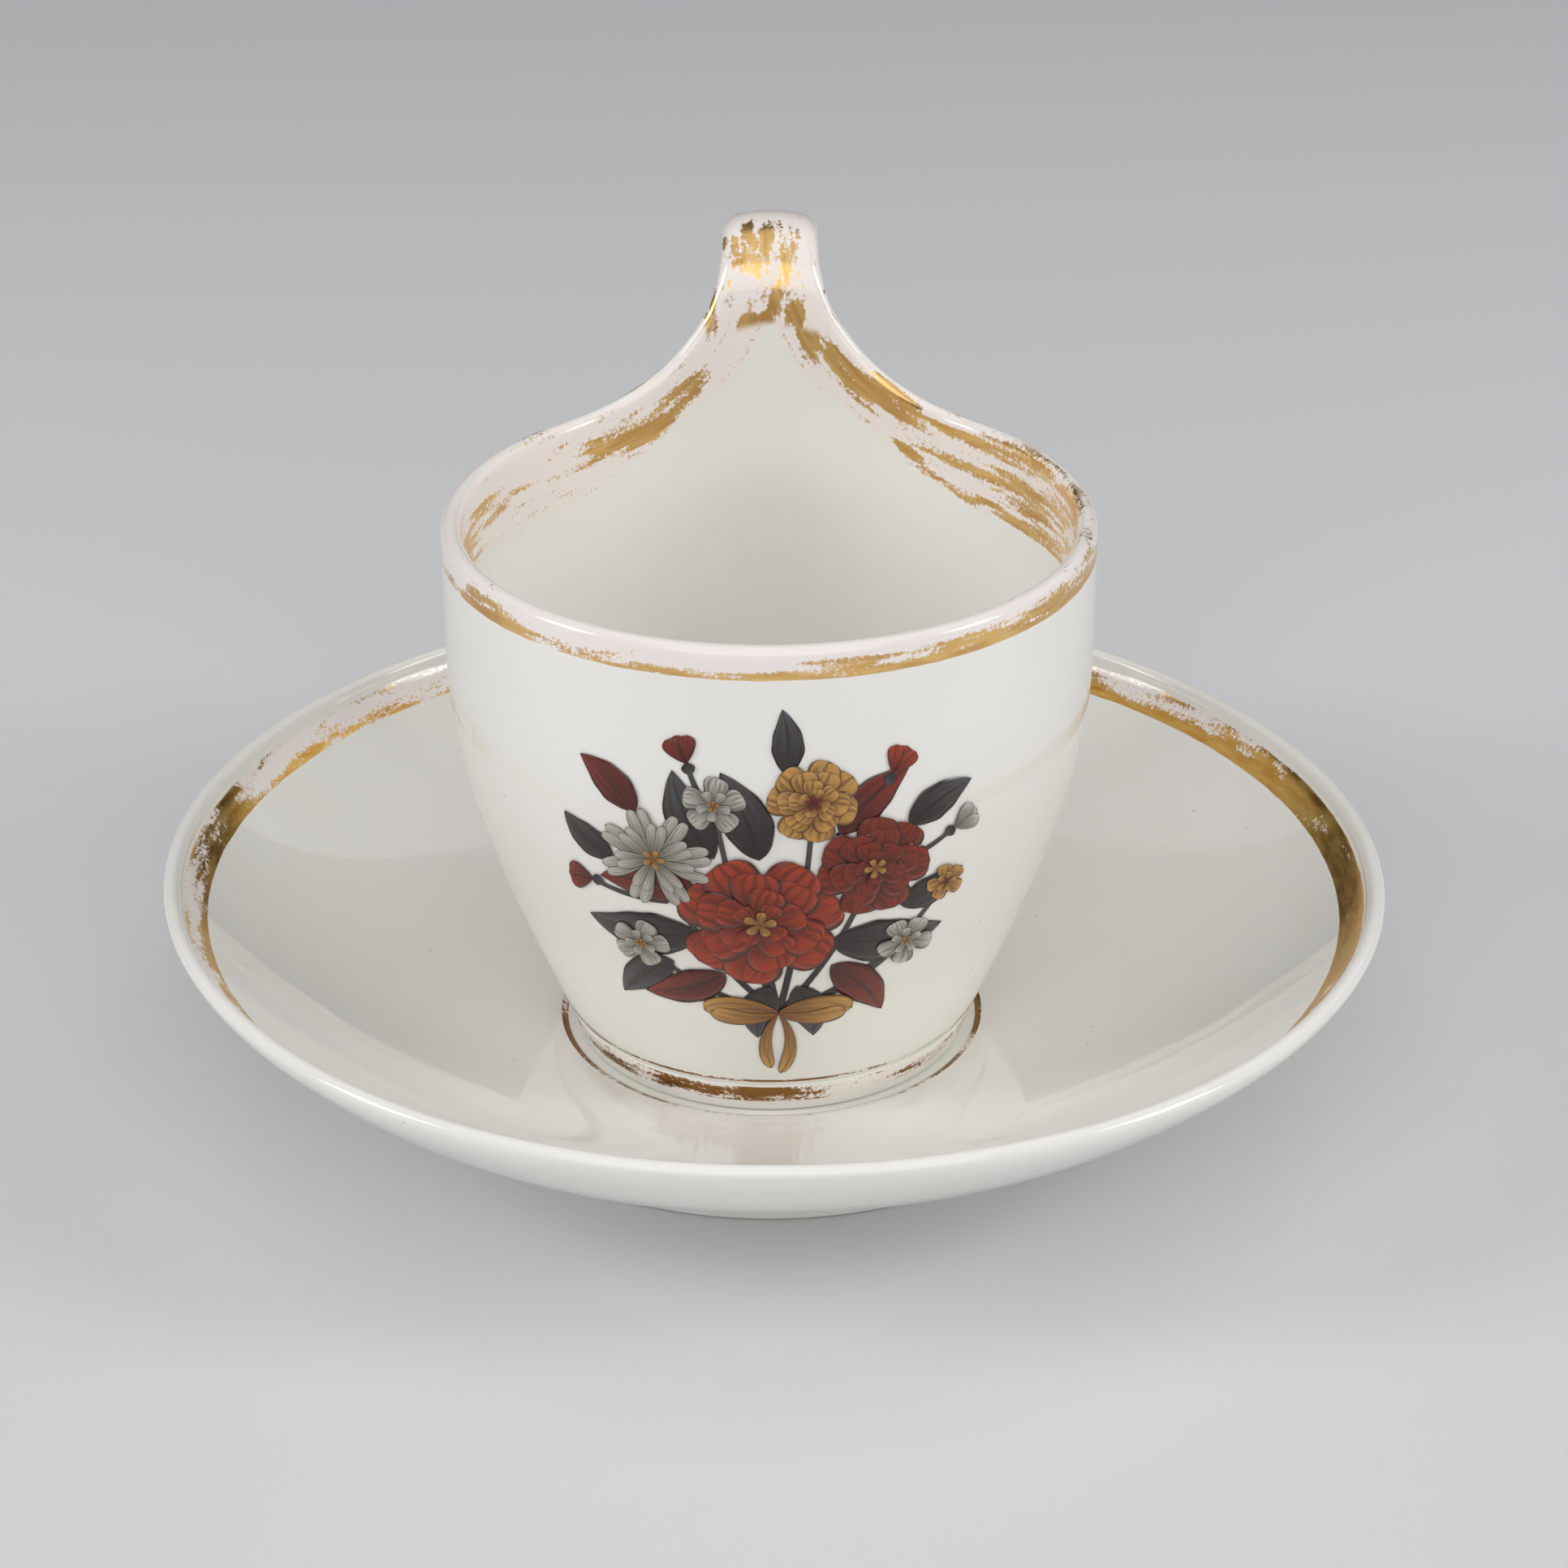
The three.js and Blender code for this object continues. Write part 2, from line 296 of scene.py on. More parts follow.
def rim_rise(angle):
    """Height of the rim above its level part, at an angle from the middle of the back."""
    if abs(angle) >= SWEEP_ANGLE:
        return 0
    if abs(angle) <= SEAT_ANGLE:
        return LIP_RISE
    inside = sweep_half_width(0) - WALL_MIDDLE * math.sin(abs(angle))
    return SWEEP_RADIUS - math.sqrt(SWEEP_RADIUS ** 2 - inside ** 2)


def edge_drop(angle):
    """Depth of the rounded edge, measured upright: it grows with the steepness of the rim."""
    drop = CUP_EDGE / (1 - rim_rise(angle) / SWEEP_RADIUS)
    return drop * min(abs(angle) / SEAT_ANGLE, 1)


def shared_out(angle):
    """Moves evenly spaced columns so that one stands at each end of the seat and of the sweep."""
    places = [(0, 0), (SEAT_COLUMNS * COLUMN_ANGLE, SEAT_ANGLE),
              ((SEAT_COLUMNS + SWEEP_COLUMNS) * COLUMN_ANGLE, SWEEP_ANGLE), (math.pi, math.pi)]
    for (start, new_start), (end, new_end) in zip(places, places[1:]):
        if abs(angle) <= end + ANGLE_TOLERANCE:
            share = (abs(angle) - start) / (end - start)
            return math.copysign(new_start + share * (new_end - new_start), angle)
    return angle


FLANK_LINE = along_curve(FLANK, LINE_SAMPLES)
FLANK_HEIGHTS = [point.y for point in FLANK_LINE]


def wall_radius(z):
    """Outer radius of the bowl at a height."""
    i = bisect.bisect_left(FLANK_HEIGHTS, z)
    if i == 0:
        return FLANK_LINE[0].x
    if i == len(FLANK_LINE):
        return CUP_RADIUS
    below, above = FLANK_LINE[i - 1], FLANK_LINE[i]
    return below.x + (above.x - below.x) * (z - below.y) / (above.y - below.y)


def new_marks(piece, *names):
    """A value for each point of a piece under each name."""
    for name in names:
        piece.data.attributes.new(name, "FLOAT", "POINT")
    return [piece.data.attributes[name].data for name in names]


def draw_up_lip(cup):
    """Lifts the wall above the shoulder at the back, and notes how far through the wall each point lies."""
    through, = new_marks(cup, "through")
    for vert, depth in zip(cup.data.vertices, through):
        x, y, z = vert.co
        radius = math.hypot(x, y)
        angle = shared_out(math.atan2(-x, y))
        depth.value = 1
        if z > CUP_FLOOR_Z - MM and radius < wall_radius(z) - CUP_EDGE:
            depth.value = -1
        if z > EDGE_Z:
            depth.value = (radius - WALL_MIDDLE) / CUP_EDGE
            z = RIM_Z + rim_rise(angle) - (RIM_Z - z) / CUP_EDGE * edge_drop(angle)
        elif z > SHOULDER_Z:
            share = (z - SHOULDER_Z) / (EDGE_Z - SHOULDER_Z)
            z += share * (rim_rise(angle) + CUP_EDGE - edge_drop(angle))
        vert.co = (-radius * math.sin(angle), radius * math.cos(angle), z)


def select_seat(cup):
    """Selects the faces on top of the rim, in the middle of the back, while the rim is still level."""
    half = SEAT_COLUMNS * COLUMN_ANGLE
    select_only(cup)
    bpy.ops.object.mode_set(mode="EDIT")
    bpy.ops.mesh.select_mode(type="FACE")
    bpy.ops.mesh.select_all(action="DESELECT")
    mesh = bmesh.from_edit_mesh(cup.data)
    for face in mesh.faces:
        x, y, z = face.calc_center_median()
        face.select_set(z > EDGE_Z and abs(math.atan2(-x, y)) < half)
    bmesh.update_edit_mesh(cup.data)
    bpy.ops.object.mode_set(mode="OBJECT")


class HandleLine:
    """The handle's middle line in the plane x = 0: up from the seat, over the crook, down to the wall."""

    def __init__(self):
        seat = ring(WALL_MIDDLE, SEAT_Z)
        crook = ring(seat.x + CROOK_RADIUS, seat.y + CROOK_RISE)
        top = crook + ring(0, CROOK_RADIUS)
        outward = ring(math.cos(HANDLE_FOOT_LEAN), math.sin(HANDLE_FOOT_LEAN))
        foot_z = CUP_BASE + HANDLE_FOOT_RISE
        wall = ring(wall_radius(foot_z), foot_z)
        back = [top, top + ring(HANDLE_TOP_EASE, 0),
                wall + outward * HANDLE_FOOT_EASE, wall - outward * CUP_EDGE]
        points = [seat]
        points += round_edge(crook, CROOK_RADIUS, 180, 90, LINE_SAMPLES // 4)
        points += along_curve(back, LINE_SAMPLES)[1:]
        self.points = points
        self.runs = [0.0]
        for a, b in zip(points, points[1:]):
            self.runs.append(self.runs[-1] + (b - a).length)
        self.length = self.runs[-1]
        self.crook_run = CROOK_RISE + CROOK_RADIUS * math.pi / 2

    def at(self, run):
        """Point and direction after a run along the line."""
        i = next((k for k, r in enumerate(self.runs[1:]) if r >= run), len(self.runs) - 2)
        share = (run - self.runs[i]) / (self.runs[i + 1] - self.runs[i])
        step = self.points[i + 1] - self.points[i]
        return self.points[i] + step * share, step.normalized()

    def width(self, run):
        if run <= self.crook_run:
            return 2 * sweep_half_width(LIP_RISE + run)
        share = (run - self.crook_run) / (self.length - self.crook_run)
        straight = STRAP_WIDTH + (STRAP_FOOT - STRAP_WIDTH) * share
        drawn_in = (STRAP_WIDTH + STRAP_FOOT) / 2 - STRAP_WAIST
        return straight - drawn_in * math.sin(math.pi * share) ** 2


def strap_point(line, across, through, run):
    """A point of the strap's section: across runs from side to side and through from front to back."""
    middle, ahead = line.at(run)
    thickened = min(run / STRAP_THICKENING, 1)
    spread = max(0, 1 - (line.length - run) / STRAP_FOOT_FLARE) ** 2
    thickness = CUP_WALL + (STRAP_THICKNESS - CUP_WALL) * thickened
    half_thickness = thickness / 2 * (1 + STRAP_FOOT_THICKENING * spread)
    half_width = line.width(run) / 2 * (1 + STRAP_FOOT_WIDENING * spread)
    arched = STRAP_ARCHING * thickened
    flat_x = (half_width - STRAP_CORNER * through ** 2) * across
    flat_out = half_thickness * through * (1 - STRAP_FACE_FALL * across ** 4)
    x = flat_x + arched * (half_width * across * math.sqrt(1 - through ** 2 / 2) - flat_x)
    out = flat_out + arched * (half_thickness * through * math.sqrt(1 - across ** 2 / 2) - flat_out)
    bow = (1 - thickened) * (WALL_MIDDLE - math.sqrt(WALL_MIDDLE ** 2 - x ** 2))
    back = Vector((0, ahead.y, -ahead.x))
    return Vector((x, middle.x, middle.y)) + back * (out - bow)


def draw_out_strap(cup):
    """The faces of the seat are extruded, step by step, along the handle's line."""
    line = HandleLine()
    select_only(cup)
    bpy.ops.object.mode_set(mode="EDIT")
    bpy.ops.mesh.select_mode(type="FACE")
    mesh = bmesh.from_edit_mesh(cup.data)
    across = mesh.verts.layers.float.new("across")
    through = mesh.verts.layers.float["through"]
    along = mesh.verts.layers.float.new("strap_run")
    for vert in mesh.verts:
        if vert.select:
            vert[across] = -math.atan2(-vert.co.x, vert.co.y) / SEAT_ANGLE
    bmesh.update_edit_mesh(cup.data)
    for i in range(1, STRAP_RINGS + 1):
        bpy.ops.mesh.extrude_region_move()
        run = line.length * i / STRAP_RINGS
        for vert in bmesh.from_edit_mesh(cup.data).verts:
            if vert.select:
                vert[along] = run / MM
                vert.co = strap_point(line, vert[across], vert[through], run)
        bmesh.update_edit_mesh(cup.data)
    bpy.ops.object.mode_set(mode="OBJECT")


def rim_depth(point):
    """Distance in from the edge of the rim, or of the strap that it sweeps up into, seen from the front."""
    side = abs(point.x)
    centre_side = sweep_half_width(0)
    if point.y < 0 or side >= centre_side:
        return RIM_Z - point.z
    below = max(RIM_Z + SWEEP_RADIUS - point.z, 0)
    return math.hypot(centre_side - side, below) - SWEEP_RADIUS


def mark_cup_gilding(cup):
    """Notes how deep below the edge each point lies, in millimetres and as a share of the gilt band there."""
    depths, bands = new_marks(cup, "gilt_depth", "gilt_band")
    through = cup.data.attributes["through"].data
    runs = cup.data.attributes["strap_run"].data
    line = HandleLine()
    for vert, deep, band, depth, along in zip(cup.data.vertices, depths, bands, through, runs):
        from_back = abs(math.atan2(-vert.co.x, vert.co.y))
        widening = min(max((from_back - LIP_BAND_FROM) / (LIP_BAND_TO - LIP_BAND_FROM), 0), 1)
        inside = LIP_BAND_INSIDE + (RIM_BAND_INSIDE - LIP_BAND_INSIDE) * widening
        inside += (STRAP_ROOT_BAND - LIP_BAND_INSIDE) * max(1 - from_back / LIP_BAND_FROM, 0)
        width = inside if depth.value < 0 else RIM_BAND_OUTSIDE
        reach = rim_depth(vert.co)
        if along.value * MM > line.crook_run:
            reach = line.width(along.value * MM) / 2 - abs(vert.co.x)
        deep.value = max(reach, 0) / MM
        band.value = max(reach, 0) / width


def make_cup():
    """Bowl, handle and foot in one piece, as it is fired."""
    cup = turned("cup", cup_rings())
    select_seat(cup)
    draw_up_lip(cup)
    draw_out_strap(cup)
    smoothed(cup)
    mark_cup_gilding(cup)
    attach(cup, "cup")
    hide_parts("cup_bowl", "cup_handle", "cup_foot_ring")
    return cup


def saucer_rings():
    """From the middle of the well out over the lip and back under to the base."""
    lip = ring(SAUCER_RADIUS - SAUCER_LIP, SAUCER_TOP - SAUCER_LIP)
    dish_end = ring(lip.x - SAUCER_LIP, SAUCER_TOP - SAUCER_LIP_HEIGHT)
    well_edge = ring(WELL_FLOOR_RADIUS + WELL_STEP, WELL_FLOOR_Z + WELL_DEPTH)
    well_rise, end_rise = math.tan(SAUCER_WELL_SLOPE), math.tan(SAUCER_LIP_SLOPE)
    run = (well_edge.y - dish_end.y + end_rise * (dish_end.x - well_edge.x)) / (end_rise - well_rise)
    dish = [well_edge, well_edge + ring(run, run * well_rise), dish_end]
    under = [p for p in beside_curve(dish, DISH_RINGS, -SAUCER_WALL_AT_FOOT, -SAUCER_WALL_AT_LIP)
             if p.x > SAUCER_FOOT + 2 * FOOT_SOFTENING]
    foot_top = under[0].y - FOOT_SOFTENING
    return [
        ring(POLE, WELL_FLOOR_Z),
        ring(WELL_FLOOR_RADIUS / 2, WELL_FLOOR_Z),
        ring(WELL_FLOOR_RADIUS - WELL_STEP, WELL_FLOOR_Z),
        *(ring(WELL_FLOOR_RADIUS + out * WELL_STEP, WELL_FLOOR_Z + up * WELL_DEPTH)
          for out, up in WELL_STEP_RINGS),
        *along_curve(dish, DISH_RINGS),
        *round_edge(lip, SAUCER_LIP, 180, 0, RIM_STRIPS),
        *reversed(under),
        ring(SAUCER_FOOT + FOOT_SOFTENING / 2, foot_top + FOOT_SOFTENING / 2),
        *foot_rings(SAUCER_FOOT, SAUCER_FOOT, SAUCER_FOOT_WIDTH, foot_top - FOOT_SOFTENING, 0, SAUCER_BASE),
    ]


def mark_saucer_gilding(saucer):
    """Notes how far in across the gilt band each point of the upper face lies."""
    bands, = new_marks(saucer, "gilt_band")
    for vert, band in zip(saucer.data.vertices, bands):
        radius = math.hypot(vert.co.x, vert.co.y)
        band.value = (SAUCER_BAND_OUTER - radius) / SAUCER_BAND_WIDTH if vert.normal.z > 0 else -1


def warp(saucer):
    """Lets the right side of the dish sink and spread, more towards the lip."""
    for vert in saucer.data.vertices:
        x, y, z = vert.co
        reach = max(math.hypot(x, y) - SAUCER_FOOT, 0) / (SAUCER_RADIUS - SAUCER_FOOT)
        side = x / SAUCER_RADIUS
        if side > 0:
            z -= SAG_RIGHT * reach * side ** SAG_POWER
            x += SPREAD_RIGHT * reach * side ** 2
        else:
            x -= SPREAD_LEFT * reach * side ** 2
        vert.co = (x, y, z)


def make_saucer():
    """Dish and foot in one piece, as it is fired."""
    saucer = smoothed(turned("saucer", saucer_rings()))
    mark_saucer_gilding(saucer)
    warp(saucer)
    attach(saucer, "saucer")
    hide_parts("saucer_dish", "saucer_foot_ring")
    return saucer


def linear(red, green, blue):
    """A colour as it is seen on a screen, 0 to 255, in the renderer's own scale."""
    def straight(level):
        share = level / 255
        return share / 12.92 if share <= 0.04045 else ((share + 0.055) / 1.055) ** 2.4
    return (straight(red), straight(green), straight(blue), 1)


GLAZE = linear(245, 243, 238)
CLOUDY_GLAZE = linear(240, 239, 230)
WORN_FILM = linear(247, 237, 232)
GOLD_LIGHT = linear(246, 202, 116)
GOLD_DARK = linear(214, 158, 70)
DARKENED_GOLD = linear(150, 108, 58)
# Darker gold, used for the foot band of the cup and the line round the saucer's well
BARE_CLAY = linear(205, 199, 188)
SPECK = linear(120, 104, 84)


def add_node(tree, kind, **settings):
    """A node with its settings made."""
    made = tree.nodes.new(kind)
    for name, value in settings.items():
        setattr(made, name, value)
    return made


def fed_node(kind, inputs, **settings):
    """A node with its inputs set or linked, in the tree that they come from."""
    tree = next(value.id_data for value in inputs.values() if isinstance(value, bpy.types.NodeSocket))
    made = add_node(tree, kind, **settings)
    for key, value in inputs.items():
        if isinstance(value, bpy.types.NodeSocket):
            tree.links.new(value, made.inputs[key])
        else:
            made.inputs[key].default_value = value
    return made


def math_of(operation, *values):
    return fed_node("ShaderNodeMath", dict(enumerate(values)), operation=operation).outputs[0]


def product(first, second):
    return math_of("MULTIPLY", first, second)


def stepped(value, low, high, start=0.0, end=1.0):
    """A soft step from start to end as the value goes from low to high."""
    inputs = {"Value": value, "From Min": low, "From Max": high, "To Min": start, "To Max": end}
    return fed_node("ShaderNodeMapRange", inputs, interpolation_type="SMOOTHSTEP").outputs["Result"]


def mixed(share, first, second):
    return fed_node("ShaderNodeMix", {0: share, 6: first, 7: second}, data_type="RGBA").outputs[2]


def mixed_value(share, first, second):
    return fed_node("ShaderNodeMix", {0: share, 2: first, 3: second}).outputs[0]


def levels(value, stops):
    """A level that follows stops of (place, level)."""
    made = fed_node("ShaderNodeValToRGB", {"Fac": value})
    elements = made.color_ramp.elements
    while len(elements) < len(stops):
        elements.new(1.0)
    for element, (place, level) in zip(elements, stops):
        element.position = place
        element.color = (level, level, level, 1)
    return made.outputs["Color"]


def noise(vector, scale, detail, roughness=0.5):
    inputs = {"Vector": vector, "Scale": scale, "Detail": detail, "Roughness": roughness}
    return fed_node("ShaderNodeTexNoise", inputs).outputs["Fac"]


def scaled(vector, sizes):
    return fed_node("ShaderNodeVectorMath", {0: vector, 1: sizes}, operation="MULTIPLY").outputs[0]


def attribute(tree, name):
    return add_node(tree, "ShaderNodeAttribute", attribute_name=name).outputs["Fac"]


def new_group(name, inputs, outputs):
    group = bpy.data.node_groups.new(name, "ShaderNodeTree")
    for direction, sockets in (("INPUT", inputs), ("OUTPUT", outputs)):
        for socket, kind in sockets.items():
            group.interface.new_socket(socket, in_out=direction, socket_type="NodeSocket" + kind)
    start = group.nodes.new("NodeGroupInput")
    end = group.nodes.new("NodeGroupOutput")
    return group, start.outputs, end


def put_out(group, end, **sockets):
    for name, socket in sockets.items():
        group.links.new(socket, end.inputs[name])


def place_group(group, **inputs):
    return fed_node("ShaderNodeGroup", inputs, node_tree=group).outputs


def turned_places():
    """Object coordinates in millimetres, with the distance from the axis and the turn round it.
    The turn is 0.5 at the front, 0.75 on the right and 0 or 1 at the back."""
    group, _, end = new_group(
        "turned_places", {}, {"Place": "Vector", "Radius": "Float", "Height": "Float", "Turn": "Float"})
    coords = add_node(group, "ShaderNodeTexCoord").outputs["Object"]
    place = scaled(coords, (1 / MM, 1 / MM, 1 / MM))
    x, y, z = fed_node("ShaderNodeSeparateXYZ", {0: place}).outputs
    squares = math_of("ADD", product(x, x), product(y, y))
    angle = math_of("ARCTAN2", x, product(y, -1.0))
    turn = math_of("ADD", math_of("DIVIDE", angle, 2 * math.pi), 0.5)
    put_out(group, end, Place=place, Radius=math_of("SQRT", squares), Height=z, Turn=turn)
    return group


# Worn gilding, in shares of the way across its band: how far its edges wander, and where gold and film end
GILT_WANDER = 0.07
GILT_WANDER_SCALE = 2.3
GILT_START = (-0.01, 0.03)
GOLD_END = (1.015, 0.975)
FILM_END = (1.05, 0.88)
# What breaks the gold up: broad patches, streaks along the band and fine flecks,
# each (coordinates, scale, detail, roughness, strength)
GILT_WEAR = [("Streaks", 0.33, 3, 0.5, 1.2), ("Streaks", 1.3, 3, 0.5, 2.0), ("Place", 2.1, 4, 0.65, 1.6)]
GOLD_LEFT = (0.32, 0.7)  # levels between which the gold goes from gone to whole


def worn_gilding():
    """Gold left on a band, and the pale film where it has rubbed off. Across runs 0 to 1 over the band."""
    group, given, end = new_group(
        "worn_gilding", {"Across": "Float", "Keep": "Float", "Streaks": "Vector", "Place": "Vector"},
        {"Gold": "Float", "Film": "Float"})
    wander = noise(given["Streaks"], GILT_WANDER_SCALE, 3)
    uneven = math_of("MULTIPLY_ADD", wander, GILT_WANDER, -GILT_WANDER / 2)
    across = math_of("ADD", given["Across"], uneven)
    started = stepped(across, *GILT_START)
    inside = product(started, stepped(across, *GOLD_END))
    faded = product(started, stepped(across, *FILM_END))
    level = given["Keep"]
    for coordinates, scale, detail, roughness, strength in GILT_WEAR:
        texture = noise(given[coordinates], scale, detail, roughness)
        worn = math_of("MULTIPLY_ADD", texture, strength, -strength / 2)
        level = math_of("ADD", level, worn)
    gold = stepped(level, *GOLD_LEFT)
    put_out(group, end, Gold=product(gold, inside), Film=faded)
    return group


GOLD_MARK_SCALE = 1.6
GOLD_MARKS = (0.25, 0.75)  # from the dark marks to the light ones
GOLD_ROUGHNESS = (0.2, 0.33)


def rubbed_gold():
    """Colour and gloss of burnished gold with fine rubbing marks."""
    group, given, end = new_group(
        "rubbed_gold", {"Streaks": "Vector"}, {"Colour": "Color", "Gloss": "Float"})
    marks = noise(given["Streaks"], GOLD_MARK_SCALE, 4)
    put_out(group, end, Colour=mixed(stepped(marks, *GOLD_MARKS), GOLD_DARK, GOLD_LIGHT),
            Gloss=stepped(marks, *GOLD_MARKS, *GOLD_ROUGHNESS))
    return group


CLOUD_SCALE = 0.045
WAVE_SCALE = 0.07
SPECK_SCALE = 0.17
SPECK_EDGE = (0.035, 0.02)


def glaze_skin():
    """The slow waves, small specks and faint clouds of a fired glaze."""
    group, given, end = new_group(
        "glaze_skin", {"Place": "Vector"}, {"Cloud": "Float", "Speck": "Float", "Height": "Float"})
    cloud = noise(given["Place"], CLOUD_SCALE, 3)
    cells = fed_node("ShaderNodeTexVoronoi", {"Vector": given["Place"], "Scale": SPECK_SCALE})
    speck = stepped(cells.outputs["Distance"], *SPECK_EDGE)
    wave = noise(given["Place"], WAVE_SCALE, 1)
    put_out(group, end, Cloud=cloud, Speck=speck, Height=wave)
    return group


TURNED_PLACES = turned_places()
WORN_GILDING = worn_gilding()
RUBBED_GOLD = rubbed_gold()
GLAZE_SKIN = glaze_skin()


def new_material(name):
    material = bpy.data.materials.new(name)
    material.use_nodes = True
    return material, material.node_tree, material.node_tree.nodes["Principled BSDF"]


# How strongly each part of the finish shows
CLOUDS = (0.35, 0.65)  # from clear glaze to cloudy glaze
CLOUD_STRENGTH = 0.5
SPECK_STRENGTH = 0.4
FILM_STRENGTH = 0.85
GLAZE_ROUGHNESS = 0.04
FILM_ROUGHNESS = 0.14
CLAY_ROUGHNESS = 0.75
WAVE_STRENGTH = 0.25
WAVE_HEIGHT = 0.4 * MM
GLAZE_IOR = 1.52


def glaze_and_gold(tree, shader, place, streaks, gold, gold_darkening, film, bare):
    """Puts the glaze, the worn film, the gold and the bare ground edge together on one shader."""
    skin = place_group(GLAZE_SKIN, Place=place)
    metal = place_group(RUBBED_GOLD, Streaks=streaks)
    cloudy = mixed(stepped(skin["Cloud"], *CLOUDS, 0.0, CLOUD_STRENGTH), GLAZE, CLOUDY_GLAZE)
    specked = mixed(product(skin["Speck"], SPECK_STRENGTH), cloudy, SPECK)
    filmed = mixed(product(film, FILM_STRENGTH), specked, WORN_FILM)
    # Gold is made darker where the darkening mask is high: low on the cup and round the saucer's well
    darkened_gold = mixed(gold_darkening, metal["Colour"], DARKENED_GOLD)
    gilded = mixed(gold, filmed, darkened_gold)
    tree.links.new(mixed(bare, gilded, BARE_CLAY), shader.inputs["Base Color"])
    tree.links.new(gold, shader.inputs["Metallic"])
    smooth = mixed_value(film, GLAZE_ROUGHNESS, FILM_ROUGHNESS)
    gloss = mixed_value(gold, smooth, metal["Gloss"])
    tree.links.new(mixed_value(bare, gloss, CLAY_ROUGHNESS), shader.inputs["Roughness"])
    waves = {"Height": skin["Height"], "Strength": WAVE_STRENGTH, "Distance": WAVE_HEIGHT}
    bump = fed_node("ShaderNodeBump", waves)
    tree.links.new(bump.outputs["Normal"], shader.inputs["Normal"])
    shader.inputs["IOR"].default_value = GLAZE_IOR


RIM_GOLD_COVER = 0.9  # the gold left on the rim is thin

# How much gold is left at each turn round the axis: 0.5 is the front, 0.75 the right
RIM_OUTSIDE_KEEP = [
    (0.0, 0.95), (0.08, 0.95), (0.13, 0.6), (0.2, 0.2), (0.315, 0.25), (0.328, 0.85), (0.362, 0.85),
    (0.38, 0.35), (0.45, 0.3), (0.54, 0.42), (0.6, 0.5), (0.66, 0.7), (0.75, 0.75), (0.85, 0.5),
    (0.92, 0.6), (1.0, 0.95),
]
FOOT_KEEP = [
    (0.0, 0.3), (0.3, 0.25), (0.4, 0.3), (0.412, 0.68), (0.5, 0.62), (0.54, 0.55), (0.555, 0.2),
    (0.7, 0.15), (0.8, 0.3), (1.0, 0.3),
]
WELL_KEEP = [
    (0.0, 0.5), (0.25, 0.75), (0.38, 0.7), (0.45, 0.2), (0.56, 0.25), (0.64, 0.7), (0.75, 0.75), (1.0, 0.5),
]
SAUCER_KEEP = [
    (0.0, 0.8), (0.08, 0.62), (0.12, 0.6), (0.16, 0.65), (0.195, 0.65), (0.21, 1.05), (0.245, 0.95),
    (0.265, 0.62), (0.31, 0.65), (0.36, 0.5), (0.4, 0.3), (0.47, 0.1), (0.55, 0.15), (0.62, 0.75),
    (0.7, 1.25), (0.9, 1.2), (1.0, 0.95),
]
# How much of it is rubbed off towards the edge of the rim and of the saucer, at each turn
RIM_OUTSIDE_RUBBING = [
    (0.0, 0.05), (0.09, 0.1), (0.13, 0.3), (0.2, 0.8), (0.315, 0.8), (0.335, 0.3), (0.36, 0.35),
    (0.385, 0.75), (0.65, 0.75), (0.74, 0.45), (0.82, 0.7), (0.87, 0.25), (1.0, 0.1),
]
SAUCER_RUBBING = [
    (0.0, 0.75), (0.07, 0.6), (0.12, 0.5), (0.16, 0.4), (0.19, 0.55), (0.205, 0.3), (0.25, 0.35),
    (0.27, 0.45), (0.32, 0.4), (0.38, 0.75), (0.55, 0.6), (0.65, 0.35), (0.79, 0.3), (0.84, 0.75),
    (0.9, 0.95), (1.0, 0.75),
]
# Patches of gold left inside the rim, each (turn, share of the band, reach round, reach across)
RIM_INSIDE_PATCHES = [
    (0.064, 0.62, 0.022, 0.24), (0.09, 0.46, 0.022, 0.22), (0.212, 0.5, 0.038, 0.18),
    (0.24, 0.86, 0.024, 0.12), (0.8, 0.36, 0.065, 0.44), (0.85, 0.9, 0.05, 0.08),
    (0.866, 0.55, 0.034, 0.1), (0.89, 0.19, 0.028, 0.06), (0.921, 0.82, 0.009, 0.07),
    (0.928, 0.26, 0.019, 0.2), (0.955, 0.46, 0.013, 0.22), (0.981, 0.5, 0.007, 0.3),
]
# The same on the strap in millimetres, each (to the right, up from the seat, reach across, reach up)
STRAP_PATCHES = [
    (-0.2, 8.2, 3.9, 2.9), (1.4, 4.2, 1.8, 3.0), (2.7, 1.2, 1.2, 1.6), (-2.2, 0.5, 2.5, 0.6),
    (-5.6, 9.0, 0.5, 0.9), (-7.3, 1.6, 0.7, 2.2),
]
OUTSIDE_PATCHES = -2.0  # depth into a patch of a place far from all of them
PATCH_DEPTHS = (-1.6, 0.9)  # depths between which the gold goes from rubbed off to kept
PATCH_KEEP = (0.02, 0.74)


def measured(value, start, unit):
    """A value measured from a start, in units."""
    return math_of("DIVIDE", math_of("SUBTRACT", value, start), unit)


def patched_keep(along, across, patches):
    """How much gold is left where it stays in oval patches."""
    deepest = OUTSIDE_PATCHES
    for middle_along, middle_across, reach_along, reach_across in patches:
        u = measured(along, middle_along, reach_along)
        v = measured(across, middle_across, reach_across)
        away = math_of("ADD", product(u, u), product(v, v))
        deepest = math_of("MAXIMUM", deepest, math_of("SUBTRACT", 1.0, away))
    return stepped(deepest, *PATCH_DEPTHS, *PATCH_KEEP)


def rubbed_keep(turn, keep, rubbing, across, rubbed):
    """How much gold is left on a band that is rubbed most at its outer edge."""
    lost = product(levels(turn, rubbing), stepped(across, *rubbed, -1.0, 0.0))
    return math_of("ADD", levels(turn, keep), lost)


def gilding(across, keep, streaks, place):
    """Gold and film on one gilt band."""
    return place_group(WORN_GILDING, Across=across, Keep=keep, Streaks=streaks, Place=place)


GROUND_EDGE = (0.16, 0.05)  # heights in millimetres, from glazed side to bare edge

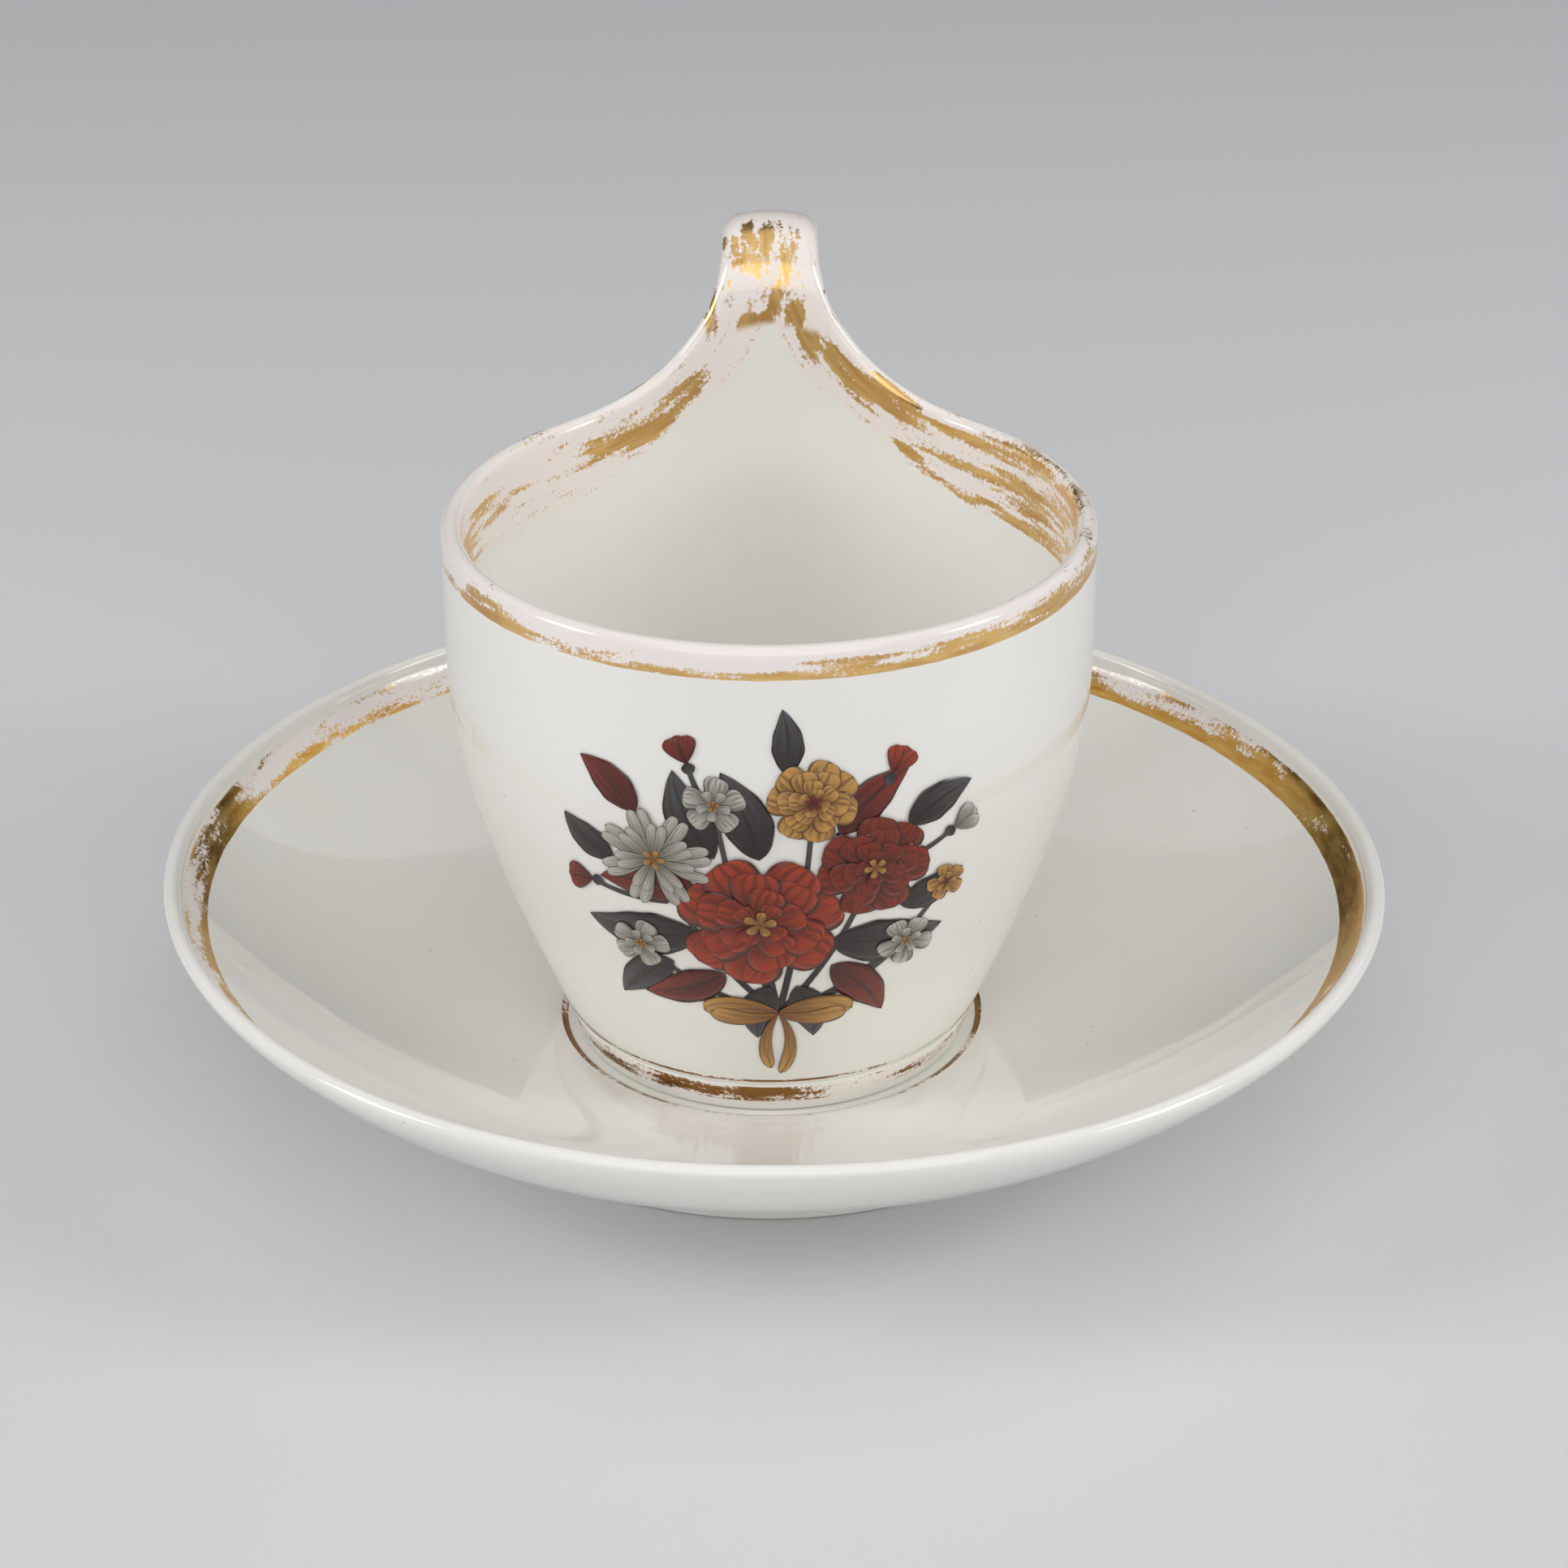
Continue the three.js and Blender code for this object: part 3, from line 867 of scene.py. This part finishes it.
# Finish of the cup: shares of the way across a band, and heights and radii in millimetres
RIM_STREAKS = (0.11, 0.11, 0.75)  # long round the band, short across it
RIM_EDGE = (0.3, -0.3)  # from the outside of the rounded edge to its inside
RIM_RUBBED = (0.08, 0.5)  # from the rubbed edge to the lower part of the outer band
RIM_LINE = (0.55, 0.95)  # the lower part keeps a line of gold
RIM_LINE_KEEP = (-0.15, 0.45)
STRAP_STREAKS = (0.7, 0.3, 1.0)  # long down the strap
STRAP_START = (0.05, 0.6)  # from the rim to the strap
STRAP_ACROSS = 0.5  # it is gilt from side to side
FOOT_OUTSIDE = (22.2, 22.6)  # from the inside of the foot to its outside
FOOT_BAND = (1.7, 2.3)  # start and width
FOOT_LINE = (5.0, 0.45)
FOOT_LINE_KEEP = 0.25  # it has kept more gold than the band under it
CUP_GOLD_DARKENING = (12.0, 9.0)  # gold is darker below, over the foot band and the line above it


def cup_finish():
    """White glaze with worn gilding round the rim, on the strap and round the foot."""
    material, tree, shader = new_material("cup_glaze")
    at = add_node(tree, "ShaderNodeGroup", node_tree=TURNED_PLACES).outputs
    place, turn = at["Place"], at["Turn"]
    across = attribute(tree, "gilt_band")
    deep = attribute(tree, "gilt_depth")
    through = attribute(tree, "through")
    run = attribute(tree, "strap_run")
    x, y, _ = fed_node("ShaderNodeSeparateXYZ", {0: place}).outputs

    band_place = fed_node("ShaderNodeCombineXYZ", {0: x, 1: y, 2: deep}).outputs[0]
    streaks = scaled(band_place, RIM_STREAKS)
    keep_outside = rubbed_keep(turn, RIM_OUTSIDE_KEEP, RIM_OUTSIDE_RUBBING, across, RIM_RUBBED)
    keep_outside = math_of("ADD", keep_outside, stepped(across, *RIM_LINE, *RIM_LINE_KEEP))
    keep_inside = patched_keep(turn, across, RIM_INSIDE_PATCHES)
    keep = mixed_value(stepped(through, *RIM_EDGE), keep_outside, keep_inside)
    rim = gilding(across, keep, streaks, place)

    strap_place = fed_node("ShaderNodeCombineXYZ", {0: x, 1: run, 2: through}).outputs[0]
    strap_streaks = scaled(strap_place, STRAP_STREAKS)
    strap_keep = patched_keep(x, run, STRAP_PATCHES)
    strap = gilding(STRAP_ACROSS, strap_keep, strap_streaks, place)
    on_strap = stepped(run, *STRAP_START)
    upper_gold = mixed_value(on_strap, rim["Gold"], strap["Gold"])
    upper_gold = product(upper_gold, RIM_GOLD_COVER)
    upper_film = mixed_value(on_strap, rim["Film"], strap["Film"])

    rise = math_of("SUBTRACT", at["Height"], CUP_BASE / MM)
    foot_streaks = scaled(place, RIM_STREAKS)
    foot_keep = levels(turn, FOOT_KEEP)
    foot = gilding(measured(rise, *FOOT_BAND), foot_keep, foot_streaks, place)
    line_keep = math_of("ADD", foot_keep, FOOT_LINE_KEEP)
    line = gilding(measured(rise, *FOOT_LINE), line_keep, foot_streaks, place)
    outside = stepped(at["Radius"], *FOOT_OUTSIDE)
    foot_gold = product(math_of("MAXIMUM", foot["Gold"], line["Gold"]), outside)
    foot_film = product(foot["Film"], outside)

    gold = math_of("MAXIMUM", upper_gold, foot_gold)
    film = math_of("MAXIMUM", upper_film, foot_film)
    gold_darkening = stepped(rise, *CUP_GOLD_DARKENING)
    bare = stepped(rise, *GROUND_EDGE)
    glaze_and_gold(tree, shader, place, streaks, gold, gold_darkening, film, bare)
    return material


# Finish of the saucer, in the same units
SAUCER_STREAKS = (0.13, 0.13, 0.8)  # long round the band, short across it
SAUCER_RUBBED = (0.35, 0.9)  # from the rubbed outer part of the band to its inner edge
WELL_LINE = (25.1, 0.8)  # start and width
UPPER_FACE = (4.4, 4.8)  # from the underside to the upper face in the well
SAUCER_GOLD_DARKENING = (32.0, 28.0)  # gold is darker further in, on the line round the well


def saucer_finish():
    """White glaze with a worn gilt band inside the lip and a gilt line round the well."""
    material, tree, shader = new_material("saucer_glaze")
    at = add_node(tree, "ShaderNodeGroup", node_tree=TURNED_PLACES).outputs
    place, turn = at["Place"], at["Turn"]
    across = attribute(tree, "gilt_band")
    streaks = scaled(place, SAUCER_STREAKS)
    keep = rubbed_keep(turn, SAUCER_KEEP, SAUCER_RUBBING, across, SAUCER_RUBBED)
    band = gilding(across, keep, streaks, place)

    well_across = measured(at["Radius"], *WELL_LINE)
    well = gilding(well_across, levels(turn, WELL_KEEP), streaks, place)
    upper = stepped(at["Height"], *UPPER_FACE)
    gold = math_of("MAXIMUM", band["Gold"], product(well["Gold"], upper))
    film = math_of("MAXIMUM", band["Film"], product(well["Film"], upper))
    gold_darkening = stepped(at["Radius"], *SAUCER_GOLD_DARKENING)
    bare = stepped(at["Height"], *GROUND_EDGE)
    glaze_and_gold(tree, shader, place, streaks, gold, gold_darkening, film, bare)
    return material


# Spray of flowers painted on the front, in millimetres from its middle
SPRAY_Z = CUP_BASE + 33 * MM
ENAMEL = 0.03 * MM
ENAMEL_LIFT = 0.05 * MM  # clear of the glaze
LAYER = 0.02 * MM  # each layer of strokes lies over the last
STROKE_LENGTHS = 22
STROKE_WIDTHS = 6
NEARLY_STRAIGHT = 1e-4  # curl of a straight stroke, in radians
PETAL_START = 0.06  # shares of a flower's radius
HEART_LENGTH = 0.2
HEART_HALF_WIDTH = 0.07
HEART_PETALS = 5
PETAL_CURL = 14  # degrees, to one side and the other in turn
RING_LAYERS = 3  # layers that the petals of a ring take up
STEM_HALF_WIDTH = 0.42
STEM_CURL = 1.6  # degrees for each millimetre that its flower is to the side
BUD_PETAL = (3.4, 1.1)  # length and half width
BUD_SPREAD = 24  # degrees between its petals
BUD_STEM_CURL = 25
BUD_STEM_START = (0.55, 0.6)  # shares of the bud's own place
CALYX = (1.6, 0.8)  # length and half width
LEAF_LAYERS = 4  # layers from the bottom up
BUD_LAYER = 3
FLOWER_LAYER = 6

RED = (linear(104, 30, 18), linear(178, 66, 40))
DEEP_RED = (linear(84, 24, 18), linear(142, 50, 32))
SLATE = (linear(38, 38, 40), linear(84, 86, 88))
OCHRE = (linear(138, 88, 34), linear(206, 156, 84))
SILVER = (linear(120, 117, 106), linear(206, 203, 192))


def petal_outline(u):
    return 1.18 * u ** 0.6 * math.sqrt(max(1 - u ** 5, 0))


def leaf_outline(u):
    return math.sin(math.pi * u ** 0.8) ** 0.9 * (1 + 0.025 * math.sin(7 * math.pi * u))


def stem_outline(u):
    return 1 - 0.35 * u


def on_wall(across, up, layer):
    """The place on the front of the bowl for a point of the design."""
    z = SPRAY_Z + up * MM
    radius = wall_radius(z)
    turn = across * MM / radius
    radius += ENAMEL_LIFT + LAYER * layer
    return Vector((radius * math.sin(turn), -radius * math.cos(turn), z))


class Spray:
    """Brush strokes laid on the wall, each a copy of one small sheet."""

    def __init__(self):
        bpy.ops.object.select_all(action="DESELECT")
        # A sheet from -1 to 1 each way, which every stroke shapes anew
        bpy.ops.mesh.primitive_grid_add(x_subdivisions=STROKE_LENGTHS, y_subdivisions=STROKE_WIDTHS, size=2)
        self.sheet = bpy.context.object
        self.sheet.data.uv_layers[0].name = "stroke"
        self.strokes = []

    def stroke(self, start, heading, length, half_width, outline, paint, layer, curl=0.0, vein=0.0):
        """One stroke from a start point, in a heading that curls along its length (degrees)."""
        copy = self.sheet.copy()
        copy.data = self.sheet.data.copy()
        bpy.context.scene.collection.objects.link(copy)
        self.strokes.append(copy)
        heading = math.radians(heading)
        curl = math.radians(curl) or NEARLY_STRAIGHT
        bend = length / curl
        heart, tip = (Vector(colour) for colour in paint)
        copy.data.attributes.new("paint", "FLOAT_COLOR", "POINT")
        veins, = new_marks(copy, "vein")
        colours = copy.data.attributes["paint"].data
        for vert, colour, mark in zip(copy.data.vertices, colours, veins):
            u = (vert.co.x + 1) / 2
            side = vert.co.y * half_width * outline(u)
            turn = heading + curl * u
            x = start[0] + bend * (math.sin(turn) - math.sin(heading)) - side * math.sin(turn)
            y = start[1] - bend * (math.cos(turn) - math.cos(heading)) + side * math.cos(turn)
            vert.co = on_wall(x, y, layer)
            colour.color = heart.lerp(tip, u ** 1.5)
            mark.value = vein

    def flower(self, middle, radius, rings, paint, heart_paint, turn):
        """Rings of petals, the outermost first, each given as (number, length, half width) of the radius."""
        away = PETAL_START * radius
        for level, (number, length, half_width) in enumerate(rings):
            for i in range(number):
                heading = turn + 360 * (i + 0.5 * (level % 2)) / number
                start = (middle[0] + away * math.cos(math.radians(heading)),
                         middle[1] + away * math.sin(math.radians(heading)))
                layer = FLOWER_LAYER + RING_LAYERS * level + i % RING_LAYERS
                self.stroke(start, heading, length * radius - away, half_width * radius, petal_outline,
                            paint, layer, curl=-PETAL_CURL if i % 2 else PETAL_CURL)
        top = FLOWER_LAYER + RING_LAYERS * len(rings)
        for i in range(HEART_PETALS):
            self.stroke(middle, turn + 360 * i / HEART_PETALS, HEART_LENGTH * radius,
                        HEART_HALF_WIDTH * radius, petal_outline, heart_paint, top + i % 2)

    def stem(self, start, end, curl):
        """A curved stem between two points, under everything else."""
        reach = Vector(end) - Vector(start)
        half = math.radians(curl) / 2
        length = reach.length * (half / math.sin(half) if half else 1)
        heading = math.degrees(math.atan2(reach.y, reach.x)) - curl / 2
        self.stroke(start, heading, length, STEM_HALF_WIDTH, stem_outline, SLATE, 0, curl=curl)

    def joined(self, name):
        """All strokes as one thin piece of enamel."""
        bpy.ops.object.select_all(action="DESELECT")
        for copy in self.strokes:
            copy.select_set(True)
        bpy.context.view_layer.objects.active = self.strokes[0]
        bpy.ops.object.join()
        piece = bpy.context.object
        piece.name = name
        piece.data.name = name
        bpy.data.objects.remove(self.sheet)
        skin = piece.modifiers.new("enamel", "SOLIDIFY")
        skin.thickness = ENAMEL
        bpy.ops.object.modifier_apply(modifier=skin.name)
        bpy.ops.object.shade_smooth()
        return piece


ROSE = [(7, 1.0, 0.42), (6, 0.78, 0.36), (5, 0.55, 0.27), (4, 0.34, 0.17)]
ASTER = [(15, 1.0, 0.13), (13, 0.72, 0.11)]
BLOSSOM = [(5, 1.0, 0.46), (5, 0.55, 0.2)]

FLOWERS = [
    ((-1, -1), 9.5, ROSE, RED, OCHRE, 10),
    ((12, 6), 6.8, ROSE, DEEP_RED, OCHRE, 40),
    ((-13, 7), 6.8, ASTER, SILVER, OCHRE, 0),
    ((5, 15.5), 5.2, ROSE, OCHRE, DEEP_RED, 25),
    ((-6, 15), 3.6, BLOSSOM, SILVER, OCHRE, 15),
    ((16, -6), 3.6, BLOSSOM, SILVER, OCHRE, 50),
    ((-15, -6), 3.6, BLOSSOM, SILVER, OCHRE, 5),
    ((21, 1.5), 2.6, BLOSSOM, OCHRE, DEEP_RED, 30),
]
BUDS = [((-9, 20), 110, DEEP_RED), ((14, 18), 60, RED), ((-21, 2), 185, DEEP_RED), ((22, 9), 25, SILVER)]
TIE = (1, -15.5)
LEAVES = [
    ((-8, -3), 200, 14, 3.2, -35, SLATE), ((-8, 3), 168, 12, 2.8, 25, DEEP_RED),
    ((-11, -8), 212, 10, 2.5, 30, SLATE), ((-5, -9), 222, 11, 2.6, -30, DEEP_RED),
    ((7, -4), -18, 14, 3.2, 30, SLATE), ((7, -8), -40, 11, 2.6, -30, DEEP_RED),
    ((15, 0), 5, 9, 2.2, 30, SLATE), ((16, 11), 38, 9, 2.3, -25, SLATE),
    ((-1, 8), 100, 12, 2.8, 22, SLATE), ((8, 11), 58, 11, 2.4, -30, DEEP_RED),
    ((-6, 8), 128, 12, 2.7, -30, SLATE), ((-15, 13), 128, 9, 2.2, 25, DEEP_RED),
    ((2, 19), 82, 8, 1.8, 22, SLATE), ((-18, 6), 160, 8, 2.0, -30, SLATE),
    ((0, -11), 246, 9, 2.3, 30, SLATE), ((3, -11), -62, 9, 2.3, -30, SLATE),
]
RIBBON = [
    (150, 9, 1.9, 60), (30, 9, 1.9, -60), (205, 8, 1.5, -50), (-25, 8, 1.5, 50),
    (240, 10, 0.9, 50), (-62, 11, 0.9, -55),
]


# Enamel: lines drawn along the sides and the tip of a stroke, veins in the leaves, and brush marks
DRAWN_LINE = linear(44, 30, 28)
LINED_SIDE = (0.8, 0.97)  # shares of the way out to the side
LINED_TIP = (0.94, 1.0)  # shares of the stroke's length
LINE_STRENGTH = 0.75
VEIN_SIDE = (0.14, 0.04)
VEIN_STRENGTH = 0.7
BRUSH_SHADE = linear(58, 30, 24)
BRUSH_STRETCH = (1.5, 9.0, 1.0)  # marks are long along a stroke and fine across it
BRUSH_CHANGE = (60.0, 60.0, 60.0)  # how fast they change from place to place
BRUSH_MARKS = (0.42, 0.62)
BRUSH_STRENGTH = 0.55
GLOSS_MARKS = (0.3, 0.7)
ENAMEL_ROUGHNESS = (0.18, 0.34)


def enamel_finish():
    """Overglaze colours with a drawn outline, brush marks along each stroke and a vein in the leaves."""
    material, tree, shader = new_material("painted_enamel")
    paint = add_node(tree, "ShaderNodeAttribute", attribute_name="paint").outputs["Color"]
    vein = attribute(tree, "vein")
    stroke = add_node(tree, "ShaderNodeUVMap", uv_map="stroke").outputs["UV"]
    along, v, _ = fed_node("ShaderNodeSeparateXYZ", {0: stroke}).outputs
    side = math_of("ABSOLUTE", math_of("MULTIPLY_ADD", v, 2.0, -1.0))
    place = add_node(tree, "ShaderNodeTexCoord").outputs["Object"]
    spread = {0: scaled(stroke, BRUSH_STRETCH), 1: scaled(place, BRUSH_CHANGE)}
    brush = noise(fed_node("ShaderNodeVectorMath", spread, operation="ADD").outputs[0], 1.0, 5)
    lined = math_of("MAXIMUM", stepped(side, *LINED_SIDE), stepped(along, *LINED_TIP))
    lined = product(lined, LINE_STRENGTH)
    veined = product(vein, stepped(side, *VEIN_SIDE, 0.0, VEIN_STRENGTH))
    dark = math_of("MAXIMUM", lined, veined)
    shaded = mixed(stepped(brush, *BRUSH_MARKS, 0.0, BRUSH_STRENGTH), paint, BRUSH_SHADE)
    tree.links.new(mixed(dark, shaded, DRAWN_LINE), shader.inputs["Base Color"])
    tree.links.new(stepped(brush, *GLOSS_MARKS, *ENAMEL_ROUGHNESS), shader.inputs["Roughness"])
    return material


def make_spray():
    """A tied spray of garden flowers in iron red, slate, ochre and silver grey."""
    spray = Spray()
    for middle, *_ in FLOWERS:
        spray.stem(TIE, middle, STEM_CURL * middle[0])
    for place, heading, paint in BUDS:
        start = (place[0] * BUD_STEM_START[0], place[1] * BUD_STEM_START[1])
        spray.stem(start, place, math.copysign(BUD_STEM_CURL, place[0]))
        for turn in (-BUD_SPREAD, BUD_SPREAD, 0):
            layer = BUD_LAYER + abs(turn) // BUD_SPREAD
            spray.stroke(place, heading + turn, *BUD_PETAL, petal_outline, paint, layer)
        spray.stroke(place, heading + 180, *CALYX, leaf_outline, SLATE, BUD_LAYER + 2)
    for i, (start, heading, length, half_width, curl, paint) in enumerate(LEAVES):
        layer = 1 + i % LEAF_LAYERS
        spray.stroke(start, heading, length, half_width, leaf_outline, paint, layer, curl=curl, vein=1.0)
    for flower in FLOWERS:
        spray.flower(*flower)
    for i, (heading, length, half_width, curl) in enumerate(RIBBON):
        spray.stroke(TIE, heading, length, half_width, petal_outline, OCHRE, FLOWER_LAYER + i, curl=curl)
    piece = spray.joined("painted_spray")
    piece.data.materials.append(enamel_finish())
    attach(piece, "cup")


# The camera, fitted to the lip, the rim and both feet as the photograph shows them
CAMERA_PLACE = Vector((2.91, -415.2, 250.3)) * MM
CAMERA_PITCH = math.radians(-27.225)
CAMERA_YAW = math.radians(-0.177)
CAMERA_ROLL = math.radians(-0.194)
FOCAL_PIXELS = 4794.5
IMAGE_PIXELS = 1932
SENSOR = 36  # millimetres
CAMERA_CLIP = 10 * MM


def make_camera():
    data = bpy.data.cameras.new("camera")
    data.sensor_width = SENSOR
    data.lens = FOCAL_PIXELS / IMAGE_PIXELS * SENSOR
    data.clip_start = CAMERA_CLIP
    camera = bpy.data.objects.new("camera", data)
    bpy.context.scene.collection.objects.link(camera)
    ahead = Vector((math.sin(CAMERA_YAW) * math.cos(CAMERA_PITCH),
                    math.cos(CAMERA_YAW) * math.cos(CAMERA_PITCH), math.sin(CAMERA_PITCH)))
    right = ahead.cross(Vector((0, 0, 1))).normalized()
    up = right.cross(ahead)
    level = Matrix((right, up, -ahead)).transposed()
    rolled = level @ Matrix.Rotation(CAMERA_ROLL, 3, "Z")
    camera.matrix_world = Matrix.Translation(CAMERA_PLACE) @ rolled.to_4x4()
    bpy.context.scene.camera = camera


FLOOR_SIZE = 4
FLOOR_COLOUR = linear(224, 224, 225)
FLOOR_ROUGHNESS = 0.6


def make_floor():
    bpy.ops.object.select_all(action="DESELECT")
    bpy.ops.mesh.primitive_plane_add(size=FLOOR_SIZE)
    floor = bpy.context.object
    floor.name = "floor"
    material, _, shader = new_material("floor")
    shader.inputs["Base Color"].default_value = FLOOR_COLOUR
    shader.inputs["Roughness"].default_value = FLOOR_ROUGHNESS
    floor.data.materials.append(material)


# Studio lights in metres and watts, each (name, place, width, height, power), all turned to the cup
LIGHTS = [
    ("left_softbox", (-0.95, -0.25, 0.55), 0.35, 0.5, 3.9),
    ("right_softbox", (0.95, -0.25, 0.55), 0.35, 0.5, 3.7),
    ("left_panel", (-0.62, 0.4, 0.75), 0.75, 0.8, 0.75),
    ("right_panel", (0.62, 0.4, 0.75), 0.75, 0.8, 1.25),
    ("top_softbox", (0, -0.05, 0.9), 0.8, 0.9, 1.7),
    ("front_fill", (0, -1.2, 0.75), 1.8, 1.2, 9.6),
]
LIGHT_TARGET = Vector((0, 0, 0.05))
DIM_ROOM = (0.075, 0.079, 0.087, 1)


def make_light(name, place, width, height, power):
    data = bpy.data.lights.new(name, "AREA")
    data.shape = "RECTANGLE"
    data.size = width
    data.size_y = height
    data.energy = power
    light = bpy.data.objects.new(name, data)
    bpy.context.scene.collection.objects.link(light)
    light.location = place
    light.rotation_euler = (LIGHT_TARGET - light.location).to_track_quat("-Z", "Y").to_euler()


def make_studio():
    for light in LIGHTS:
        make_light(*light)
    world = bpy.data.worlds.new("studio")
    world.use_nodes = True
    world.node_tree.nodes["Background"].inputs["Color"].default_value = DIM_ROOM
    bpy.context.scene.world = world
    bpy.context.scene.view_settings.view_transform = "Standard"


make_camera()
cup = make_cup()
cup.data.materials.append(cup_finish())
make_spray()
saucer = make_saucer()
saucer.data.materials.append(saucer_finish())
make_floor()
make_studio()
